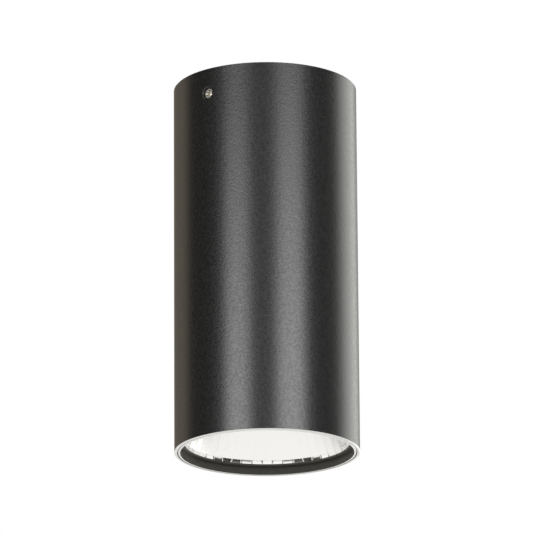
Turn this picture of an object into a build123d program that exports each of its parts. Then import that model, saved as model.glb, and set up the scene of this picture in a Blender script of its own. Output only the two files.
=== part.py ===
from build123d import *
import math
import os

# Surface-mounted cylinder downlight. Millimetres, +Z up, the ceiling at z = 0 and the light
# below it, centred on Z. The two set screws lie on the X axis.

# Tube and rim
TUBE_DIAMETER = 80.0
TUBE_WALL = 3.5
TUBE_EDGE = 0.3  # chamfer on both ends of the tube
CEILING_GAP = 0.5  # shadow gap between the ceiling and the tube
SHOULDER_STEP = 1.0  # counterbore that the heat sink seats in
RIM_THICKNESS = 1.2  # wall left outside the bezel's thread
PORT_RADIUS = 3.25  # round screw ports along the inside of the tube
PORT_ANGLES = (90, 210, 330)

# Set screws and the ears that they press on
SET_SCREW_RADIUS = 2.5
SET_SCREW_LENGTH = 4.0
SET_SCREW_DROP = 11.0  # below the tube's top edge
SET_SCREW_SOCKET = 2.5  # across the flats
SOCKET_DEPTH = 2.0
COUNTERSINK = 0.35
EAR_GAP = 2.0  # between an ear and the tube's bore
EAR_WIDTH = 16.0
EAR_LENGTH = 20.0

# Ceiling bracket
BRACKET_SHEET = 2.0
BEND_RADIUS = 1.0  # inside the bends
SLOT_WIDTH = 4.6
SLOT_LENGTH = 12.0
SLOT_MARGIN = 3.5  # from the end of a slot to the edge of the plate
EARTH_RADIUS = 2.0
EARTH_MARGIN = 5.5  # from the earth screw to the edge of the plate
EARTH_ANGLE = -42.0
WASHER_RADIUS = 4.5
WASHER_THICKNESS = 0.8

# Cable grommet
INLET_RADIUS = 9.0
GROMMET_BORE = 4.0
GROMMET_FLANGE = 2.5  # width of the flange under the plate
GROMMET_FLANGE_HEIGHT = 2.0
GROMMET_NOSE = 3.0  # length of the nose below the flange
GROMMET_RECESS = 0.3  # its top lies below the plate's face
GROMMET_WALL = 2.0

# Terminal block, clamp and wires
WIRE_ROOM = 6.0  # clear height between the grommet and the terminal block
TERMINAL_HEIGHT = 12.0
TERMINAL_DEPTH = 12.0
TERMINAL_PITCH = 7.0
TERMINAL_POLES = 3
WIRE_HEIGHT = 5.0  # of the wires above the carrier
WIRE_HOLE = 1.6
TERMINAL_SCREW_RADIUS = 1.75
CLAMP_GAP = 3.5  # between the terminal block and the clamp
CLAMP_WIDTH = 7.0
CLAMP_BORE = 3.5
CLAMP_SHEET = 1.5
CLAMP_FOOT = 6.0
CLAMP_MARGIN = 2.5  # of the carrier beyond the clamp
LEAD_RADIUS = 0.9
LEAD_BEND = 5.0
LEAD_INSET = 2.5  # from the power supply's inner wall
LEAD_DROP = 4.0  # from the terminal block to where a wire turns down
LEAD_TAIL = 2.0  # of a wire inside the power supply
LEAD_CLEARANCE = 0.15
LUG_SHEET = 0.8
LUG_RING = 3.2
LUG_BARREL = 6.0
LUG_DROP = 14.0  # from the carrier's top to the lug's screw

# Power supply and its carrier
CARRIER_SHEET = 1.5
CARRIER_OVERHANG = 1.0  # of the carrier beyond the power supply and the terminal block
FOOT_WIDTH = 10.0
DRIVER_TOP_GAP = 3.0
DRIVER_LENGTH = 54.0
DRIVER_WIDTH = 32.0
DRIVER_WALL = 1.5
DRIVER_BACK = 10.0  # distance of its back from the tube's axis
DRIVER_LID = 1.5
LID_RIM = 1.5
LUG_THICKNESS = 2.0
LUG_REACH = 3.0  # from its side to a fixing screw
BOARD_STANDOFF = 4.0
BOARD_THICKNESS = 1.6
BOARD_GAP = 0.5  # around the board
STANDOFF_RADIUS = 2.0
COMPONENT_CLEARANCE = 2.5
TRANSFORMER_HEIGHT = 12.0
TRANSFORMER_WIDTH = 16.0
TRANSFORMER_LENGTH = 13.0
TRANSFORMER_FLANGE = 1.5
CAPACITOR_LENGTH = 11.0
CAPACITOR_RADIUS = 4.0
CAPACITOR_GAP = 4.0  # between the two
CHOKE_HEIGHT = 7.0
CHOKE_RADIUS = 5.0
CHOKE_BORE = 2.2
COMPONENT_INSET = 3.0  # from the ends of the board

# Heat sink
SCREW_RADIUS = 1.5
SCREW_SINK = 7.0  # depth of a fixing screw in its hole
SCREW_ROOM = 2.3  # beside a screw's head
HEAD_SPREAD = 1.8  # head radius and height, in screw radii
HEAD_RISE = 1.2
THREAD_CLEARANCE = 0.05
HOLE_CLEARANCE = 0.2
FIN_CLEARANCE = 2.0  # under the carrier
FIN_HEIGHT = 20.0
FIN_PITCH = 6.0
FIN_THICKNESS = 1.8
FIN_MARGIN = 1.45  # between the fins and the screw ports
BASE_THICKNESS = 6.0
BASE_CLEARANCE = 0.2
POST_RADIUS = 4.0
BUSH_WALL = 0.6
BUSH_FLANGE = 1.0
BUSH_CLEARANCE = 0.2

# Light source
PAD_THICKNESS = 0.5
LED_BOARD = 24.0
LED_BOARD_THICKNESS = 1.2
EMITTER_RADIUS = 7.25
EMITTER_HEIGHT = 0.6
HOLDER_HEIGHT = 4.5
HOLDER_RIM = 3.6  # outside the contacts
HOLDER_APERTURE = 8.5
HOLDER_FLARE = 1.2  # the aperture opens by this much
HOLDER_SCREW_RADIUS = 1.25
HOLDER_SCREW_INSET = 5.5  # from the board's edge
HOLDER_SCREW_RECESS = 2.0
CONTACT_INSET = 4.0  # from the board's edge
CONTACT_DEPTH = 3.2

# Reflector and bezel
REFLECTOR_GAP = 0.3  # below the holder
REFLECTOR_DEPTH = 42.5
REFLECTOR_WALL = 1.2
THROAT_RADIUS = 10.5
THROAT_ANGLE = 50.0  # of the wall from the axis
MOUTH_ANGLE = 27.0
ROLLED_ROW = 1.6  # height of the steeper row at the mouth
ROLLED_ANGLE = 9.8
FACETS = 48
FACET_ROWS = 16
FLANGE_CLEARANCE = 0.3
LEDGE_WIDTH = 2.0
LEDGE_THICKNESS = 0.8
LIP_HEIGHT = 3.5
BEZEL_WALL = 1.2
BEZEL_COLLAR = 1.0  # of the ring above the reflector's flange
BEZEL_CLEARANCE = 0.1
BEZEL_CHAMFER = 0.4
SEAT_GAP = 0.05  # between pieces that move apart

# Radii that follow
tube_radius = TUBE_DIAMETER / 2
bore_radius = tube_radius - TUBE_WALL
counterbore = bore_radius + SHOULDER_STEP
thread_radius = tube_radius - RIM_THICKNESS
bezel_radius = thread_radius - BEZEL_CLEARANCE
lip_radius = bezel_radius - BEZEL_WALL
mouth_radius = lip_radius - LEDGE_WIDTH
rolled_radius = mouth_radius - ROLLED_ROW * math.tan(math.radians(ROLLED_ANGLE))
head_radius = HEAD_SPREAD * SCREW_RADIUS
port_circle = counterbore - head_radius - BASE_CLEARANCE - FLANGE_CLEARANCE
fin_circle = port_circle - PORT_RADIUS - FIN_MARGIN
ear_face = bore_radius - EAR_GAP
plate_radius = ear_face - BRACKET_SHEET - BEND_RADIUS

# Heights, from the ceiling down. The tube's length is the sum of this stack.
tube_top = -CEILING_GAP
flange_under = -BRACKET_SHEET - GROMMET_FLANGE_HEIGHT
grommet_end = flange_under - GROMMET_NOSE
terminal_top = grommet_end - WIRE_ROOM
carrier_top = terminal_top - TERMINAL_HEIGHT
driver_top = carrier_top - CARRIER_SHEET - DRIVER_TOP_GAP
driver_bottom = driver_top - DRIVER_LENGTH
carrier_bottom = driver_bottom - CARRIER_SHEET
fin_top = carrier_bottom - FIN_CLEARANCE
base_top = fin_top - FIN_HEIGHT
base_bottom = base_top - BASE_THICKNESS
board_under = base_bottom - PAD_THICKNESS - LED_BOARD_THICKNESS
holder_bottom = base_bottom - HOLDER_HEIGHT
throat_z = holder_bottom - REFLECTOR_GAP
ledge_top = throat_z - REFLECTOR_DEPTH
ledge_bottom = ledge_top - LEDGE_THICKNESS
tube_bottom = ledge_bottom - LIP_HEIGHT
flange_top = ledge_top + REFLECTOR_WALL
rolled_z = ledge_top + ROLLED_ROW
bezel_top = flange_top + BEZEL_COLLAR
thread_top = bezel_top + BEZEL_CLEARANCE
screw_z = tube_top - SET_SCREW_DROP
wire_z = carrier_top + WIRE_HEIGHT

# Places across the tube that follow
driver_side = DRIVER_WIDTH / 2
post_x = driver_side + head_radius + SCREW_ROOM
fixing_x = driver_side + LUG_REACH
wall_side = fixing_x + LUG_REACH
wall_back = DRIVER_BACK + CARRIER_SHEET
board_back = DRIVER_BACK - DRIVER_WALL - BOARD_STANDOFF
board_face = board_back - BOARD_THICKNESS
component_room = max(TRANSFORMER_HEIGHT, CAPACITOR_LENGTH, CHOKE_HEIGHT) + COMPONENT_CLEARANCE
lid_back = board_face - component_room
driver_front = lid_back - DRIVER_LID
lead_x = -(driver_side - DRIVER_WALL - LEAD_INSET)
terminal_left = lead_x + LEAD_DROP
terminal_right = terminal_left + TERMINAL_DEPTH
terminal_side = TERMINAL_PITCH * TERMINAL_POLES / 2
pole_ys = [TERMINAL_PITCH * (i - (TERMINAL_POLES - 1) / 2) for i in range(TERMINAL_POLES)]
clamp_x = terminal_right + CLAMP_GAP + CLAMP_WIDTH / 2
clamp_side = CLAMP_BORE + CLAMP_SHEET + CLAMP_FOOT
clamp_screw_y = clamp_side - CLAMP_FOOT / 2
led_lead_x = 1.5 * FIN_PITCH
led_lead_y = board_face - component_room / 2
contact_y = LED_BOARD / 2 + CONTACT_INSET
holder_radius = math.hypot(led_lead_x, contact_y) + HOLDER_RIM
holder_screw_x = LED_BOARD / 2 + HOLDER_SCREW_INSET
lug_z = carrier_top - LUG_DROP
lug_axis = wall_back + LEAD_RADIUS + LUG_SHEET


def rod(radius, bottom, top, x=0.0, y=0.0):
    """An upright cylinder between two heights."""
    return Pos(x, y, (bottom + top) / 2) * Cylinder(radius, top - bottom)


def rod_along_x(radius, start, end, y, z):
    """A cylinder along X."""
    return Pos((start + end) / 2, y, z) * Rot(0, 90, 0) * Cylinder(radius, abs(end - start))


def rod_along_y(radius, start, end, x, z):
    """A cylinder along Y."""
    return Pos(x, (start + end) / 2, z) * Rot(90, 0, 0) * Cylinder(radius, abs(end - start))


def slab(xs, ys, zs):
    """A box between two corners, given as a pair of values for each axis."""
    middle = [(low + high) / 2 for low, high in (xs, ys, zs)]
    size = [abs(high - low) for low, high in (xs, ys, zs)]
    return Pos(*middle) * Box(*size)


def turned(*outline):
    """A solid turned about Z from a closed outline of radius and height."""
    return revolve(Plane.XZ * make_face(Polyline(*outline, close=True)), Axis.Z)


def around(radius, angles):
    """Points on a circle about Z."""
    return [(radius * math.cos(math.radians(a)), radius * math.sin(math.radians(a))) for a in angles]


def fixing(radius, length, at, towards):
    """A pan-head screw: its head seats on the point given, and its shank runs the way given."""
    head = Pos(0, 0, -HEAD_RISE * radius / 2) * Cylinder(HEAD_SPREAD * radius, HEAD_RISE * radius)
    head = chamfer(head.edges().group_by(Axis.Z)[0], radius / 4)
    shank = rod(radius, 0, length)
    socket = extrude(Pos(0, 0, -HEAD_RISE * radius) * RegularPolygon(radius, 6), HEAD_RISE * radius / 2)
    return Plane(origin=at, z_dir=towards) * (head + shank - socket)


def bend_radius(before, corner, after):
    """The roundest bend that two runs of a wire leave room for."""
    run_in = Vector(*corner) - Vector(*before)
    run_out = Vector(*after) - Vector(*corner)
    half_turn = math.radians(run_in.get_angle(run_out)) / 2
    room = 0.45 * min(run_in.length, run_out.length) / math.tan(half_turn)
    return min(room, LEAD_BEND)


def lead(*points):
    """An insulated wire along straight runs with rounded corners."""
    radii = [bend_radius(*corner) for corner in zip(points, points[1:], points[2:])]
    path = FilletPolyline(*points, radius=radii)
    start = Plane(origin=path @ 0, z_dir=path % 0)
    return sweep(start * Circle(LEAD_RADIUS), path=path)


def upper_edges(block):
    """The two upper edges of a block that run along Y."""
    return block.edges().filter_by(Axis.Y).group_by(Axis.Z)[-1]


def ceiling_bracket():
    """Round plate with two ears bent down, fixing slots, cable inlet and earth hole."""
    inside = ear_face - BRACKET_SHEET
    half = EAR_WIDTH / 2
    plate = slab((-ear_face, ear_face), (-half, half), (-EAR_LENGTH, 0))
    plate = fillet(upper_edges(plate), BEND_RADIUS + BRACKET_SHEET)
    gap = slab((-inside, inside), (-half, half), (-EAR_LENGTH, -BRACKET_SHEET))
    plate -= fillet(upper_edges(gap), BEND_RADIUS)
    plate += rod(plate_radius, -BRACKET_SHEET, 0)
    plate -= rod(INLET_RADIUS, -2 * BRACKET_SHEET, BRACKET_SHEET)
    slot_y = plate_radius - SLOT_MARGIN - SLOT_LENGTH / 2
    for y in (-slot_y, slot_y):
        slot = Pos(0, y, -BRACKET_SHEET) * Rot(0, 0, 90) * SlotOverall(SLOT_LENGTH, SLOT_WIDTH)
        plate -= extrude(slot, BRACKET_SHEET)
    for x, y in earth_point():
        plate -= rod(EARTH_RADIUS + THREAD_CLEARANCE, -2 * BRACKET_SHEET, BRACKET_SHEET, x, y)
    return plate


def earth_point():
    """Where the bracket's earth screw stands."""
    return around(plate_radius - EARTH_MARGIN, (EARTH_ANGLE,))


def cable_grommet():
    """Rubber grommet whose flange lies under the plate."""
    neck = INLET_RADIUS - HOLE_CLEARANCE
    return turned(
        (GROMMET_BORE, -GROMMET_RECESS),
        (neck, -GROMMET_RECESS),
        (neck, -BRACKET_SHEET),
        (INLET_RADIUS + GROMMET_FLANGE, -BRACKET_SHEET),
        (INLET_RADIUS + GROMMET_FLANGE, flange_under),
        (GROMMET_BORE + 2 * GROMMET_WALL, flange_under),
        (GROMMET_BORE + GROMMET_WALL, grommet_end),
        (GROMMET_BORE, grommet_end),
    )


def earth_washer():
    """Plain washer under the earth screw's head."""
    x, y = earth_point()[0]
    under = -BRACKET_SHEET - WASHER_THICKNESS
    ring = rod(WASHER_RADIUS, under, -BRACKET_SHEET, x, y)
    return ring - rod(EARTH_RADIUS + HOLE_CLEARANCE, 2 * under, 0, x, y)


def earth_screw():
    """Earth screw, driven up into the plate."""
    x, y = earth_point()[0]
    seat = -BRACKET_SHEET - WASHER_THICKNESS
    return fixing(EARTH_RADIUS, -seat - GROMMET_RECESS, (x, y, seat), (0, 0, 1))


def housing_tube():
    """Tube with a counterbored lower half, a threaded mouth, screw ports and two set-screw holes."""
    tube = turned(
        (tube_radius, tube_bottom + TUBE_EDGE),
        (tube_radius, tube_top - TUBE_EDGE),
        (tube_radius - TUBE_EDGE, tube_top),
        (bore_radius + TUBE_EDGE, tube_top),
        (bore_radius, tube_top - TUBE_EDGE),
        (bore_radius, base_top),
        (counterbore, base_top),
        (counterbore, thread_top),
        (thread_radius, thread_top),
        (thread_radius, tube_bottom),
        (tube_radius - TUBE_EDGE, tube_bottom),
    )
    for x, y in around(port_circle, PORT_ANGLES):
        tube += rod(PORT_RADIUS, base_top, carrier_top, x, y)
    for x, y in around(port_circle, PORT_ANGLES):
        tube -= rod(SCREW_RADIUS + THREAD_CLEARANCE, base_top, carrier_top, x, y)
    hole = SET_SCREW_RADIUS + THREAD_CLEARANCE
    for side in (-1, 1):
        tube -= rod_along_x(hole, side * ear_face, side * (tube_radius + COUNTERSINK), 0, screw_z)
        flare = Cone(hole, hole + 2 * COUNTERSINK, 2 * COUNTERSINK)
        tube -= Pos(side * tube_radius, 0, screw_z) * Rot(0, side * 90, 0) * flare
    return tube


def set_screw(side):
    """Set screw with a hexagon socket, its tip against the bracket's ear."""
    tip = ear_face + SEAT_GAP
    body = chamfer(Cylinder(SET_SCREW_RADIUS, SET_SCREW_LENGTH).edges(), SET_SCREW_RADIUS / 8)
    hexagon = RegularPolygon(SET_SCREW_SOCKET / 2, 6, major_radius=False)
    body -= extrude(Pos(0, 0, SET_SCREW_LENGTH / 2 - SOCKET_DEPTH) * hexagon, SOCKET_DEPTH)
    return Pos(side * (tip + SET_SCREW_LENGTH / 2), 0, screw_z) * Rot(0, side * 90, 0) * body


def fin(x):
    """One upright fin of the heat sink."""
    half = math.sqrt(fin_circle**2 - (abs(x) + FIN_THICKNESS / 2) ** 2)
    return slab((x - FIN_THICKNESS / 2, x + FIN_THICKNESS / 2), (-half, half), (base_top, fin_top))


def heat_sink():
    """Cast base with fins, two posts for the carrier, and holes for screws and wires."""
    count = int((fin_circle - FIN_PITCH / 2) / FIN_PITCH)
    sink = rod(counterbore - BASE_CLEARANCE, base_bottom, base_top)
    for i in range(-count, count + 1):
        sink += fin(i * FIN_PITCH)
    for x in (-post_x, post_x):
        sink += rod(POST_RADIUS, base_top, carrier_bottom, x)
        sink -= rod(SCREW_RADIUS + THREAD_CLEARANCE, carrier_bottom - SCREW_SINK, carrier_bottom, x)
    for x, y in around(port_circle, PORT_ANGLES):
        sink -= rod(SCREW_RADIUS + HOLE_CLEARANCE, base_bottom, base_top, x, y)
    for x in (-led_lead_x, led_lead_x):
        sink -= rod(bush_radius(), base_bottom, base_top, x, contact_y)
    for x in (-holder_screw_x, holder_screw_x):
        hole = HOLDER_SCREW_RADIUS + THREAD_CLEARANCE
        sink -= rod(hole, base_bottom, base_bottom + BASE_THICKNESS / 2, x)
    return sink


def bush_radius():
    """Radius of the holes that the light source's wires pass the heat sink in."""
    return LEAD_RADIUS + LEAD_CLEARANCE + BUSH_WALL


def lead_bushes():
    """Two rubber bushes, each with a small flange between two fins."""
    flange = (FIN_PITCH - FIN_THICKNESS) / 2 - BUSH_CLEARANCE
    bushes = []
    for x in (-led_lead_x, led_lead_x):
        bush = rod(bush_radius() - SEAT_GAP, base_bottom, base_top, x, contact_y)
        bush += rod(flange, base_top, base_top + BUSH_FLANGE, x, contact_y)
        bush -= rod(LEAD_RADIUS + LEAD_CLEARANCE, base_bottom, base_top + BUSH_FLANGE, x, contact_y)
        bushes.append(bush)
    return Compound(bushes)


def heat_sink_screws():
    """Three screws from below, through the heat sink into the tube's ports."""
    reach = BASE_THICKNESS + SCREW_SINK
    points = around(port_circle, PORT_ANGLES)
    return Compound([fixing(SCREW_RADIUS, reach, (x, y, base_bottom), (0, 0, 1)) for x, y in points])


def thermal_pad():
    """Pad between the light source and the heat sink."""
    half = LED_BOARD / 2
    return slab((-half, half), (-half, half), (base_bottom - PAD_THICKNESS, base_bottom))


def led_board():
    """Square board of the light source."""
    half = LED_BOARD / 2
    return slab((-half, half), (-half, half), (board_under, base_bottom - PAD_THICKNESS))


def led_emitter():
    """Round emitting surface on the board."""
    return rod(EMITTER_RADIUS, board_under - EMITTER_HEIGHT, board_under)


def led_holder():
    """Round holder that clamps the board, with a flared aperture and two wire contacts."""
    holder = rod(holder_radius, holder_bottom, base_bottom)
    half = LED_BOARD / 2 + LEAD_CLEARANCE
    holder -= slab((-half, half), (-half, half), (board_under, base_bottom))
    depth = board_under - holder_bottom
    opening = Cone(HOLDER_APERTURE + HOLDER_FLARE, HOLDER_APERTURE, depth)
    holder -= Pos(0, 0, holder_bottom + depth / 2) * opening
    for x in (-led_lead_x, led_lead_x):
        contact = LEAD_RADIUS + LEAD_CLEARANCE
        holder -= rod(contact, base_bottom - CONTACT_DEPTH, base_bottom, x, contact_y)
    for x in (-holder_screw_x, holder_screw_x):
        holder -= rod(HOLDER_SCREW_RADIUS + HOLE_CLEARANCE, holder_bottom, base_bottom, x)
        well = HEAD_SPREAD * HOLDER_SCREW_RADIUS + HOLE_CLEARANCE
        holder -= rod(well, holder_bottom, holder_bottom + HOLDER_SCREW_RECESS, x)
    return holder


def led_holder_screws():
    """Two sunk screws that hold the holder to the heat sink."""
    seat = holder_bottom + HOLDER_SCREW_RECESS
    reach = base_bottom - seat + BASE_THICKNESS / 2 - SEAT_GAP
    places = (-holder_screw_x, holder_screw_x)
    return Compound([fixing(HOLDER_SCREW_RADIUS, reach, (x, 0, seat), (0, 0, 1)) for x in places])


def driver_carrier():
    """Bent sheet: a foot on the heat sink's posts, a back wall and a shelf for the terminals."""
    right = clamp_x + CLAMP_WIDTH / 2 + CLAMP_MARGIN
    side = driver_side + CARRIER_OVERHANG
    front = max(terminal_side, clamp_side) + CARRIER_OVERHANG
    foot_end = post_x + POST_RADIUS
    carrier = slab((-wall_side, wall_side), (DRIVER_BACK, wall_back), (carrier_bottom, carrier_top))
    carrier += slab((-side, right), (-front, wall_back), (carrier_top - CARRIER_SHEET, carrier_top))
    carrier += slab((-side, side), (driver_front, wall_back), (carrier_bottom, driver_bottom))
    carrier += slab((-foot_end, foot_end), (-FOOT_WIDTH / 2, FOOT_WIDTH / 2), (carrier_bottom, driver_bottom))
    for x in (-post_x, post_x):
        carrier -= rod(SCREW_RADIUS + HOLE_CLEARANCE, carrier_bottom, driver_bottom, x)
    for x in (-led_lead_x, led_lead_x):
        carrier -= rod(2 * LEAD_RADIUS, carrier_bottom, driver_bottom, x, led_lead_y)
    for y in pole_ys[:2]:
        carrier -= rod(2 * LEAD_RADIUS, carrier_top - CARRIER_SHEET, carrier_top, lead_x, y)
    for y in (-clamp_screw_y, clamp_screw_y):
        carrier -= rod(SCREW_RADIUS + THREAD_CLEARANCE, carrier_top - CARRIER_SHEET, carrier_top, clamp_x, y)
    for x, z in ((-fixing_x, driver_middle()), (fixing_x, driver_middle()), (-fixing_x, lug_z)):
        carrier -= rod_along_y(SCREW_RADIUS + THREAD_CLEARANCE, DRIVER_BACK, wall_back, x, z)
    return carrier


def driver_middle():
    """Height of the power supply's fixing screws."""
    return (driver_top + driver_bottom) / 2


def carrier_screws():
    """Two screws that hold the carrier's foot to the posts."""
    reach = CARRIER_SHEET + SCREW_SINK - SEAT_GAP
    places = (-post_x, post_x)
    return Compound([fixing(SCREW_RADIUS, reach, (x, 0, driver_bottom), (0, 0, -1)) for x in places])


def board_half_width():
    """Half the width of the power supply's board."""
    return driver_side - DRIVER_WALL - BOARD_GAP


def board_ends():
    """Lower and upper end of the power supply's board."""
    return driver_bottom + DRIVER_WALL + BOARD_GAP, driver_top - DRIVER_WALL - BOARD_GAP


def standoff_points():
    """Where the posts under the board stand, as pairs of x and z."""
    low, high = board_ends()
    inset = STANDOFF_RADIUS + BOARD_GAP
    x = board_half_width() - inset
    return [(i * x, z) for i in (-1, 1) for z in (low + inset, high - inset)]


def driver_base():
    """Moulded case, open at the front, with posts for the board and two fixing lugs."""
    inner = driver_side - DRIVER_WALL
    case = slab((-driver_side, driver_side), (lid_back, DRIVER_BACK), (driver_bottom, driver_top))
    hollow_z = (driver_bottom + DRIVER_WALL, driver_top - DRIVER_WALL)
    case -= slab((-inner, inner), (lid_back, DRIVER_BACK - DRIVER_WALL), hollow_z)
    for x, z in standoff_points():
        case += rod_along_y(STANDOFF_RADIUS, board_back, DRIVER_BACK - DRIVER_WALL, x, z)
    lug_y = (DRIVER_BACK - LUG_THICKNESS, DRIVER_BACK)
    lug_zs = (driver_middle() - LUG_REACH, driver_middle() + LUG_REACH)
    for side in (-1, 1):
        case += slab((side * driver_side, side * wall_side), lug_y, lug_zs)
        case -= rod_along_y(SCREW_RADIUS + HOLE_CLEARANCE, *lug_y, side * fixing_x, driver_middle())
        case -= rod(
            LEAD_RADIUS + LEAD_CLEARANCE, driver_bottom, hollow_z[0], side * led_lead_x, led_lead_y
        )
    for y in pole_ys[:2]:
        case -= rod(LEAD_RADIUS + LEAD_CLEARANCE, hollow_z[1], driver_top, lead_x, y)
    return case


def driver_lid():
    """Lid with a rim that snaps into the case."""
    lid = slab((-driver_side, driver_side), (driver_front, lid_back), (driver_bottom, driver_top))
    outer = driver_side - DRIVER_WALL - LEAD_CLEARANCE
    low = driver_bottom + DRIVER_WALL + LEAD_CLEARANCE
    high = driver_top - DRIVER_WALL - LEAD_CLEARANCE
    rim_y = (lid_back, lid_back + LID_RIM)
    lid += slab((-outer, outer), rim_y, (low, high))
    inner = outer - DRIVER_LID
    lid -= slab((-inner, inner), rim_y, (low + DRIVER_LID, high - DRIVER_LID))
    return lid


def driver_board():
    """Circuit board on the case's posts."""
    half = board_half_width()
    return slab((-half, half), (board_face, board_back), board_ends())


def driver_transformer():
    """Wound transformer: a core between two bobbin flanges."""
    middle = driver_middle()
    half_x = TRANSFORMER_WIDTH / 2
    half_z = TRANSFORMER_LENGTH / 2
    top = board_face - TRANSFORMER_HEIGHT
    body = slab((-half_x, half_x), (top, board_face), (middle - half_z, middle + half_z))
    waist_y = (top + TRANSFORMER_FLANGE, board_face - TRANSFORMER_FLANGE)
    for side in (-1, 1):
        waist_z = (middle + side * (half_z - TRANSFORMER_FLANGE), middle + side * half_z)
        body -= slab((-half_x, half_x), waist_y, waist_z)
    return body


def driver_capacitors():
    """Two round capacitors side by side."""
    x = CAPACITOR_RADIUS + CAPACITOR_GAP / 2
    z = board_ends()[1] - COMPONENT_INSET - CAPACITOR_RADIUS
    top = board_face - CAPACITOR_LENGTH
    return Compound([rod_along_y(CAPACITOR_RADIUS, top, board_face, i * x, z) for i in (-1, 1)])


def driver_choke():
    """Ring-shaped choke that stands on the board."""
    z = board_ends()[0] + COMPONENT_INSET + CHOKE_RADIUS
    top = board_face - CHOKE_HEIGHT
    ring = rod_along_y(CHOKE_RADIUS, top, board_face, 0, z)
    return ring - rod_along_y(CHOKE_BORE, top, board_face, 0, z)


def driver_screws():
    """Two screws through the case's lugs into the carrier."""
    seat = DRIVER_BACK - LUG_THICKNESS
    reach = LUG_THICKNESS + CARRIER_SHEET + SCREW_RADIUS
    places = (-fixing_x, fixing_x)
    return Compound([fixing(SCREW_RADIUS, reach, (x, seat, driver_middle()), (0, 1, 0)) for x in places])


def terminal_screw_xs():
    """The two rows of screws in the terminal block."""
    middle = (terminal_left + terminal_right) / 2
    return middle - TERMINAL_DEPTH / 4, middle + TERMINAL_DEPTH / 4


def terminal_block():
    """Three-pole terminal block with through holes for wires and wells for its screws."""
    ends = (terminal_left, terminal_right)
    block = slab(ends, (-terminal_side, terminal_side), (carrier_top, terminal_top))
    for y in pole_ys:
        block -= rod_along_x(WIRE_HOLE, *ends, y, wire_z)
        for x in terminal_screw_xs():
            block -= rod(TERMINAL_SCREW_RADIUS + HOLE_CLEARANCE, wire_z, terminal_top, x, y)
    return block


def terminal_screws():
    """Six slotted screws, two for each pole, sunk in the block."""
    low = wire_z + LEAD_RADIUS + SEAT_GAP
    high = terminal_top - TERMINAL_SCREW_RADIUS / 2
    screws = []
    for y in pole_ys:
        for x in terminal_screw_xs():
            screw = rod(TERMINAL_SCREW_RADIUS, low, high, x, y)
            half_slot = TERMINAL_SCREW_RADIUS / 6
            ends = (x - TERMINAL_SCREW_RADIUS, x + TERMINAL_SCREW_RADIUS)
            screw -= slab(ends, (y - half_slot, y + half_slot), (high - TERMINAL_SCREW_RADIUS / 2, high))
            screws.append(screw)
    return Compound(screws)


def cable_clamp():
    """Saddle that grips the supply cable on the carrier's shelf."""
    start = clamp_x - CLAMP_WIDTH / 2
    end = clamp_x + CLAMP_WIDTH / 2
    saddle = rod_along_x(CLAMP_BORE + CLAMP_SHEET, start, end, 0, carrier_top)
    saddle += slab((start, end), (-clamp_side, clamp_side), (carrier_top, carrier_top + CLAMP_SHEET))
    saddle -= rod_along_x(CLAMP_BORE, start, end, 0, carrier_top)
    below = carrier_top - CLAMP_BORE - CLAMP_SHEET
    saddle -= slab((start, end), (-clamp_side, clamp_side), (below, carrier_top))
    for y in (-clamp_screw_y, clamp_screw_y):
        saddle -= rod(SCREW_RADIUS + HOLE_CLEARANCE, carrier_top, carrier_top + CLAMP_SHEET, clamp_x, y)
    return saddle


def clamp_screws():
    """Two screws that hold the clamp to the shelf."""
    seat = carrier_top + CLAMP_SHEET
    reach = CLAMP_SHEET + CARRIER_SHEET + DRIVER_TOP_GAP / 2
    places = (-clamp_screw_y, clamp_screw_y)
    return Compound([fixing(SCREW_RADIUS, reach, (clamp_x, y, seat), (0, 0, -1)) for y in places])


def supply_lead(y):
    """Wire from a terminal down into the top of the power supply."""
    end = driver_top - DRIVER_WALL - LEAD_TAIL
    return lead((terminal_screw_xs()[0], y, wire_z), (lead_x, y, wire_z), (lead_x, y, end))


def lead_earth():
    """Wire from the earth terminal, round the carrier's back, down to the earth lug."""
    y = pole_ys[2]
    return lead(
        (terminal_screw_xs()[0], y, wire_z),
        (-fixing_x, y, wire_z),
        (-fixing_x, lug_axis, wire_z),
        (-fixing_x, lug_axis, lug_top() - LUG_BARREL),
    )


def lug_top():
    """Upper end of the earth lug's barrel."""
    return lug_z + LUG_RING + 1.5 * LUG_BARREL


def earth_lug():
    """Ring lug with a barrel crimped on the earth wire."""
    ring_y = (wall_back, wall_back + LUG_SHEET)
    outside = LEAD_RADIUS + LUG_SHEET
    low = lug_top() - LUG_BARREL
    lug = rod_along_y(LUG_RING, *ring_y, -fixing_x, lug_z)
    lug += slab((-fixing_x - outside, -fixing_x + outside), ring_y, (lug_z, lug_top()))
    lug += rod(outside, low, lug_top(), -fixing_x, lug_axis)
    lug -= rod(LEAD_RADIUS + SEAT_GAP, low, lug_top(), -fixing_x, lug_axis)
    return lug - rod_along_y(SCREW_RADIUS + HOLE_CLEARANCE, *ring_y, -fixing_x, lug_z)


def earth_lug_screw():
    """Screw that holds the earth lug to the carrier's back."""
    reach = LUG_SHEET + CARRIER_SHEET + SCREW_RADIUS
    return fixing(SCREW_RADIUS, reach, (-fixing_x, wall_back + LUG_SHEET, lug_z), (0, -1, 0))


def led_lead(x):
    """Wire from the power supply, along a gap between fins, to the holder's contact."""
    bend_z = (fin_top + base_top) / 2 + LEAD_BEND / 2
    return lead(
        (x, led_lead_y, driver_bottom + DRIVER_WALL + LEAD_TAIL),
        (x, led_lead_y, bend_z),
        (x, contact_y, bend_z),
        (x, contact_y, base_bottom - CONTACT_DEPTH + LEAD_CLEARANCE),
    )


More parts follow.
